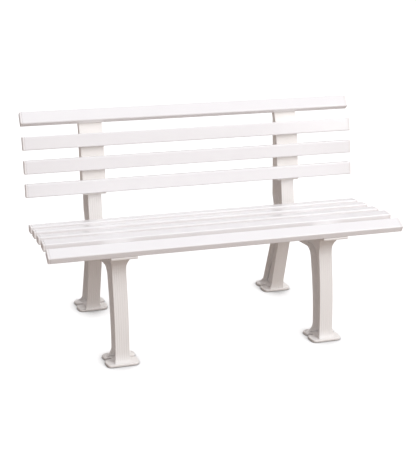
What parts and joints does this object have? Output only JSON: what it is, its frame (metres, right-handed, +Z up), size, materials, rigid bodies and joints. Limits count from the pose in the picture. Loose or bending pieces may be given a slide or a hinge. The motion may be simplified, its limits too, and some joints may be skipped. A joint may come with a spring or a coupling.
{
  "type": "garden bench",
  "caption": "Garden bench with a curved slatted seat and reclined back: hollow slats screwed to two moulded side frames with slotted feet.",
  "frame": {"origin": "middle of the bench's bounding box at floor level", "axes": "+X along the slats to the right as the sitter's front is seen, +Y from the seat's front edge to the back, +Z up"},
  "size_m": [1.25, 0.6491, 0.7833],
  "materials": {
    "slat": "glossy extruded white PVC",
    "cap": "satin moulded white end caps",
    "frame": "satin moulded off-white plastic",
    "bracket": "satin moulded off-white plastic",
    "fastener": "zinc-plated screws, bolts and nuts"
  },
  "bodies": {
    "root": {"seat_slat_1": "slat", "seat_slat_2": "slat", "seat_slat_3": "slat", "seat_slat_4": "slat", "seat_slat_5": "slat", "back_slat_1": "slat", "back_slat_2": "slat", "back_slat_3": "slat", "back_slat_4": "slat", "seat_slat_1_cap_left": "cap", "seat_slat_1_cap_right": "cap", "seat_slat_2_cap_left": "cap", "seat_slat_2_cap_right": "cap", "seat_slat_3_cap_left": "cap", "seat_slat_3_cap_right": "cap", "seat_slat_4_cap_left": "cap", "seat_slat_4_cap_right": "cap", "seat_slat_5_cap_left": "cap", "seat_slat_5_cap_right": "cap", "back_slat_1_cap_left": "cap", "back_slat_1_cap_right": "cap", "back_slat_2_cap_left": "cap", "back_slat_2_cap_right": "cap", "back_slat_3_cap_left": "cap", "back_slat_3_cap_right": "cap", "back_slat_4_cap_left": "cap", "back_slat_4_cap_right": "cap", "seat_slat_1_screw_left": "fastener", "seat_slat_1_screw_right": "fastener", "seat_slat_2_screw_left": "fastener", "seat_slat_2_screw_right": "fastener", "seat_slat_3_screw_left": "fastener", "seat_slat_3_screw_right": "fastener", "seat_slat_4_screw_left": "fastener", "seat_slat_4_screw_right": "fastener", "seat_slat_5_screw_left": "fastener", "seat_slat_5_screw_right": "fastener", "back_slat_1_screw_left": "fastener", "back_slat_1_screw_right": "fastener", "back_slat_2_screw_left": "fastener", "back_slat_2_screw_right": "fastener", "back_slat_3_screw_left": "fastener", "back_slat_3_screw_right": "fastener", "back_slat_4_screw_left": "fastener", "back_slat_4_screw_right": "fastener", "side_frame_left": "frame", "back_bracket_left": "bracket", "bracket_bolt_left_1": "fastener", "bracket_nut_left_1": "fastener", "bracket_bolt_left_2": "fastener", "bracket_nut_left_2": "fastener", "side_frame_right": "frame", "back_bracket_right": "bracket", "bracket_bolt_right_1": "fastener", "bracket_nut_right_1": "fastener", "bracket_bolt_right_2": "fastener", "bracket_nut_right_2": "fastener"}
  },
  "joints": []
}
